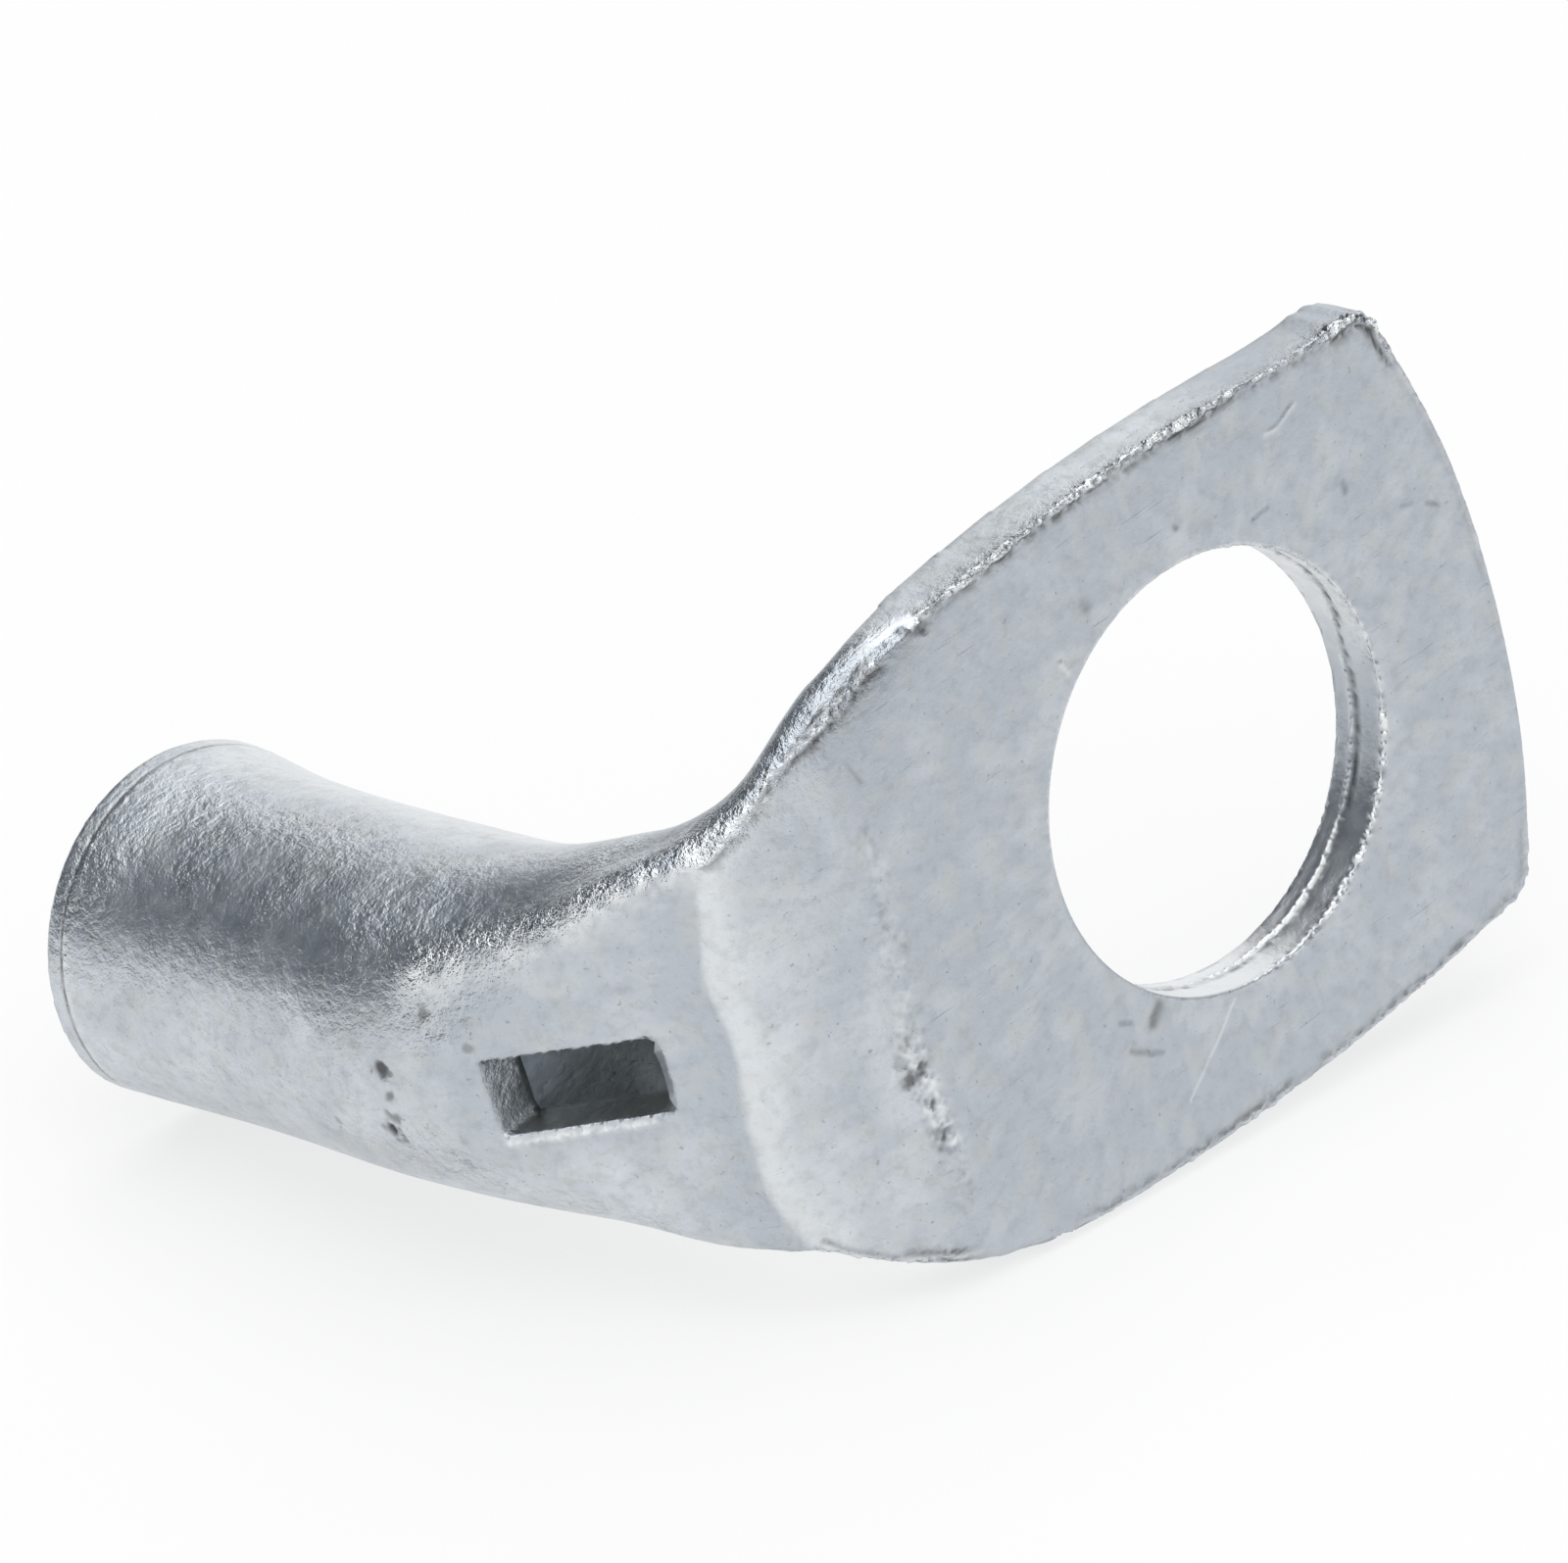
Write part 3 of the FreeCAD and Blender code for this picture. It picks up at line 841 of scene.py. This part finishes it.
def add_mouth_groove(skin):
    """Groove with painted shade and roll with painted highlight around the barrel, just below its mouth."""
    collar = (skin.rho > outer_wall) * (skin.z > mouth_z - 1)
    place, width, depth = mouth_notch
    notch = bell(skin.z - mouth_z + place, width) * collar * (0.7 + 0.3 * skin.ragged)
    place, width, height = mouth_roll
    roll = bell(skin.z - mouth_z + place, width) * collar * (0.6 + 0.6 * skin.ragged)
    skin.press(height * roll - depth * notch)
    skin.paint_shade(0.8 * notch)
    skin.paint_highlight(np.clip(0.8 * roll, 0, 1))


def enclosed(skin, solid):
    """1 inside the bore and the hollow neck, where the way straight out meets the piece again."""
    tree = face_tree(solid)
    found = np.zeros(len(skin.points))
    for index in np.where((skin.x < -4.5) & (skin.z > 0.3) & (skin.rho < 4))[0]:
        outward = Vector(skin.normals[index])
        start = Vector(skin.points[index]) + outward * inside_start
        found[index] = tree.ray_cast(start, outward, inside_reach)[0] is not None
    return found


def add_grain(skin, lip, inside):
    """Dents of tumbling: barrel, crest and edges. Returns their strength."""
    x, y, z, points = skin.x, skin.y, skin.z, skin.points
    grain = step(1.6, 2.8, z) * step(bore_r, bore_r + 0.35, skin.rho) * (1 - 0.35 * step(4.5, 6.5, z))
    grain *= np.clip(0.75 + 0.6 * skin.rough(1.1, 9), 0.3, 1.2)
    grain = np.maximum(grain, 0.35 * step(6.0, 6.6, -x))
    tumbled = np.minimum(chain_distance(points, fold_edge), chain_distance(points, crest_line))
    tumbled = 1.3 * bell(tumbled, 0.6) * step(0.15, 0.45, -skin.normals[:, 1])
    tumbled *= 1 - 0.4 * step(-5.4, -4.6, x)
    grain = np.maximum(grain, tumbled) * (1 - 0.8 * inside)
    grain = np.maximum(grain, 1.2 * lip + 0.7 * skin.cut_side * bell(z, 0.3) * (y < 0))
    dents = skin.rough(2.6, 5) + 0.6 * skin.rough(5.0, 6)
    skin.press(grain * dents * grain_height)
    return grain


def shaped_mesh():
    """The whole piece with softened neck, burrs, dents and marks."""
    solid = solid_mesh(frame["nodes"]["ring_terminal"])
    mesh = remade(solid)
    soften(mesh)
    line = contact_line(solid)
    refine(mesh, line)
    snap(mesh, solid)

    skin = Skin(mesh, line)
    for add in (add_sways, add_face_marks, add_pits, add_upper_crease, add_tones, add_crest, add_crinkles):
        add(skin)
    lip = add_torn_edge(skin)
    for add in (add_hole, add_window_burr, add_mouth_groove):
        add(skin)
    inside = enclosed(skin, solid)
    grain = add_grain(skin, lip, inside)

    put(mesh, skin.points + skin.push)
    # the painted shade inside fades out towards the mouth
    inside *= 1 - step(5.5, 7.0, skin.z)
    masks = {"grain": grain, "painted_shade": skin.painted_shade, "bright": skin.bright, "tone": skin.tone, "inside": inside}
    for name, values in masks.items():
        layer = mesh.attributes.new(name, "FLOAT", "POINT")
        layer.data.foreach_set("value", values.astype(np.float32))
    layer = mesh.attributes.new("palm_mm", "FLOAT_VECTOR", "POINT")
    layer.data.foreach_set("vector", points_of(mesh).astype(np.float32).ravel())
    mesh.polygons.foreach_set("use_smooth", [True] * len(mesh.polygons))
    mesh.transform(placing)
    mesh.update()
    return mesh


class Graph:
    """Short way to build a node tree."""

    def __init__(self, tree):
        self.tree = tree

    def add(self, kind, values=None, **settings):
        node = self.tree.nodes.new("ShaderNode" + kind)
        for name, value in settings.items():
            setattr(node, name, value)
        for socket, value in (values or {}).items():
            if hasattr(value, "is_output"):
                self.tree.links.new(value, node.inputs[socket])
            else:
                node.inputs[socket].default_value = value
        return node

    def math(self, operation, first, second=0.0):
        return self.add("Math", {0: first, 1: second}, operation=operation).outputs[0]

    def attribute(self, name, output="Fac"):
        return self.add("Attribute", attribute_name=name).outputs[output]

    def noise(self, vector, scale, detail=3.0, roughness=0.55):
        values = {"Vector": vector, "Scale": scale, "Detail": detail, "Roughness": roughness}
        return self.add("TexNoise", values).outputs["Fac"]

    def mapped(self, value, low, high, to_low=0.0, to_high=1.0, kind="LINEAR"):
        values = {"Value": value, "From Min": low, "From Max": high, "To Min": to_low, "To Max": to_high}
        return self.add("MapRange", values, interpolation_type=kind).outputs[0]

    def shown(self):
        """1 for rays that show the background: seen straight, in metal or through glass."""
        path = self.add("LightPath").outputs
        mirrored = self.math("MAXIMUM", path["Is Glossy Ray"], path["Is Transmission Ray"])
        return self.math("MAXIMUM", path["Is Camera Ray"], mirrored)

    def mixed(self, factor, first, second):
        return self.add("Mix", {0: factor, 6: first, 7: second}, data_type="RGBA").outputs[2]


def plating_color(g, place, grain, painted_shade, bright):
    """Bluish grey with clouds, mottle and specks; painted light and shade by region, painted shade inside the
    bore and the neck and in tears, painted highlights on burrs.
    """
    clouds = g.mapped(g.noise(place, 1.1, 5.0, 0.6), 0.38, 0.62, -0.22, 0.32)
    # painted light and shade by region, with random clouds
    color = g.mixed(g.math("ADD", g.attribute("tone"), clouds), metal_dark, metal_pale)
    warm = g.mapped(g.noise(place, 2.3, 3.0), 0.5, 0.7, 0.0, 0.5)
    color = g.mixed(warm, color, metal_warm)
    mottle = g.mapped(g.noise(place, 4.5, 5.0, 0.65), 0.33, 0.5, 0.38, 0.0)
    color = g.mixed(mottle, color, metal_mottled)
    # painted shade inside the bore and the hollow neck, where the piece encloses them
    color = g.mixed(g.math("MULTIPLY", g.attribute("inside"), 0.6), color, metal_inside_shade)
    blotches = g.mapped(g.noise(place, 3.2, 5.0, 0.75), 0.52, 0.64, 0.0, 0.5)
    color = g.mixed(g.math("MULTIPLY", blotches, grain), color, metal_blotched)
    specks = g.mapped(g.noise(place, 8.0, 2.0, 0.7), 0.33, 0.27, 0.0, 0.55)
    color = g.mixed(specks, color, metal_speck)
    # painted highlights, then painted shade
    color = g.mixed(bright, color, metal_highlight)
    return g.mixed(painted_shade, color, metal_shade)


def plating_height(g, place, grain):
    """Relief finer than the mesh: pebbles of the grain, a broad wave, hair scratches."""
    pebbles = g.math("MULTIPLY", g.noise(place, 6.0, 3.0, 0.7), g.math("MULTIPLY", grain, 2.2))
    fine = g.math("MULTIPLY", g.noise(place, 8.0, 4.0, 0.65), 0.3)
    broad = g.math("MULTIPLY", g.noise(place, 1.6, 2.0, 0.5), 0.9)
    height = g.math("ADD", g.math("ADD", pebbles, fine), broad)
    for turn, seed in ((0.5, 0.0), (2.0, 7.0)):
        values = {"Vector": place, "Location": (seed, 0, seed), "Rotation": (0, 0, turn), "Scale": (0.9, 14, 3)}
        aligned = g.add("Mapping", values).outputs[0]
        hair = g.mapped(g.noise(aligned, 1.0, 1.0, 0.5), 0.73, 0.8, 0.0, 0.14)
        height = g.math("SUBTRACT", height, hair)
    return height


def metal():
    """Matt tin plating, grainy and a little shinier where the tube was tumbled."""
    material = bpy.data.materials.new("tinned_copper")
    material.use_nodes = True
    g = Graph(material.node_tree)
    shader = g.tree.nodes["Principled BSDF"]
    shader.inputs["Metallic"].default_value = 1.0
    place = g.attribute("palm_mm", "Vector")
    grain = g.attribute("grain")
    painted_shade = g.attribute("painted_shade")
    bright = g.attribute("bright")
    g.tree.links.new(plating_color(g, place, grain, painted_shade, bright), shader.inputs["Base Color"])

    satin = g.mapped(g.noise(place, 3.0, 4.0), 0.3, 0.7, 0.38, 0.48)
    satin = g.math("SUBTRACT", satin, g.math("MULTIPLY", grain, 0.12))
    polish = g.math("MULTIPLY", bright, 0.15)
    g.tree.links.new(g.math("SUBTRACT", satin, polish), shader.inputs["Roughness"])

    values = {"Height": plating_height(g, place, grain), "Strength": 1.0, "Distance": bump_depth}
    g.tree.links.new(g.add("Bump", values).outputs[0], shader.inputs["Normal"])
    return material


def terminal():
    mesh = shaped_mesh()
    mesh.materials.clear()
    mesh.materials.append(metal())
    piece = bpy.data.objects.new("terminal", mesh)
    bpy.context.scene.collection.objects.link(piece)
    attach(piece, "root")
    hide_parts("ring_terminal")


def camera():
    data = bpy.data.cameras.new("camera")
    data.lens = camera_lens
    data.sensor_width = sensor_width
    data.clip_start = 0.01
    data.clip_end = 10.0
    view = bpy.data.objects.new("camera", data)
    bpy.context.scene.collection.objects.link(view)
    place = placing @ Vector(camera_at)
    back = (place - placing @ Vector(camera_aim)).normalized()
    up = (placing.to_3x3() @ Vector(camera_up)).normalized()
    right = up.cross(back).normalized()
    up = back.cross(right)
    axes = Matrix([right, up, back]).transposed().to_4x4()
    view.matrix_world = Matrix.Translation(place) @ axes
    bpy.context.scene.camera = view


def floor():
    """White floor that keeps a soft shadow close to the part."""
    mesh = bpy.data.meshes.new("floor")
    h = floor_size / 2
    mesh.from_pydata([(-h, -h, 0), (h, -h, 0), (h, h, 0), (-h, h, 0)], [], [(0, 1, 2, 3)])
    piece = bpy.data.objects.new("floor", mesh)
    bpy.context.scene.collection.objects.link(piece)
    material = bpy.data.materials.new("floor")
    material.use_nodes = True
    g = Graph(material.node_tree)
    g.tree.nodes.clear()
    plain = g.add("BsdfDiffuse", {"Color": floor_color})
    glow = g.add("Emission", {"Strength": 1.0})
    place = g.add("NewGeometry").outputs["Position"]
    away = g.add("VectorMath", {0: place}, operation="LENGTH").outputs["Value"]
    share = g.math("MULTIPLY", g.shown(), g.mapped(away, *shadow_zone, shadow_glow, 1.0, "SMOOTHSTEP"))
    mix = g.add("MixShader", {0: share, 1: plain.outputs[0], 2: glow.outputs[0]})
    g.add("OutputMaterial", {0: mix.outputs[0]})
    mesh.materials.append(material)


def softbox():
    data = bpy.data.lights.new("softbox", "AREA")
    data.shape = "SQUARE"
    data.size = softbox_size
    data.energy = softbox_power
    lamp = bpy.data.objects.new("softbox", data)
    bpy.context.scene.collection.objects.link(lamp)
    lamp.location = (0, 0, softbox_height)


def card_mask(g, level, rise, card):
    """1 where a dark card stands, with soft edges, 0 elsewhere."""
    azimuth, half, low, high, depth = card
    middle = (np.cos(np.radians(azimuth)), np.sin(np.radians(azimuth)), 0)
    facing = g.add("VectorMath", {0: level, 1: middle}, operation="DOT_PRODUCT").outputs["Value"]
    sides = [np.cos(np.radians(half + card_edge)), np.cos(np.radians(half - card_edge))]
    mask = g.mapped(facing, *sides, 0.0, depth, "SMOOTHSTEP")
    lower = [np.sin(np.radians(low - card_edge)), np.sin(np.radians(low + card_edge))]
    upper = [np.sin(np.radians(high + card_edge)), np.sin(np.radians(high - card_edge))]
    for ends in (lower, upper):
        mask = g.math("MULTIPLY", mask, g.mapped(rise, *ends, 0.0, 1.0, "SMOOTHSTEP"))
    return mask


def tent():
    """White surroundings with dark cards, which only the metal sees."""
    world = bpy.data.worlds.new("studio")
    bpy.context.scene.world = world
    world.use_nodes = True
    g = Graph(world.node_tree)
    look = g.add("TexCoord").outputs["Generated"]
    level = g.add("VectorMath", {0: look, 1: (1, 1, 0)}, operation="MULTIPLY").outputs[0]
    level = g.add("VectorMath", {0: level}, operation="NORMALIZE").outputs[0]
    rise = g.add("SeparateXYZ", {0: look}).outputs["Z"]
    color = tent_color
    for card in dark_cards:
        color = g.mixed(card_mask(g, level, rise, card), color, card_color)
    seen = g.add("LightPath").outputs["Is Camera Ray"]
    color = g.mixed(seen, color, tent_color)
    g.tree.links.new(color, g.tree.nodes["Background"].inputs["Color"])


terminal()
camera()
floor()
softbox()
tent()
bpy.context.scene.view_settings.view_transform = "Standard"
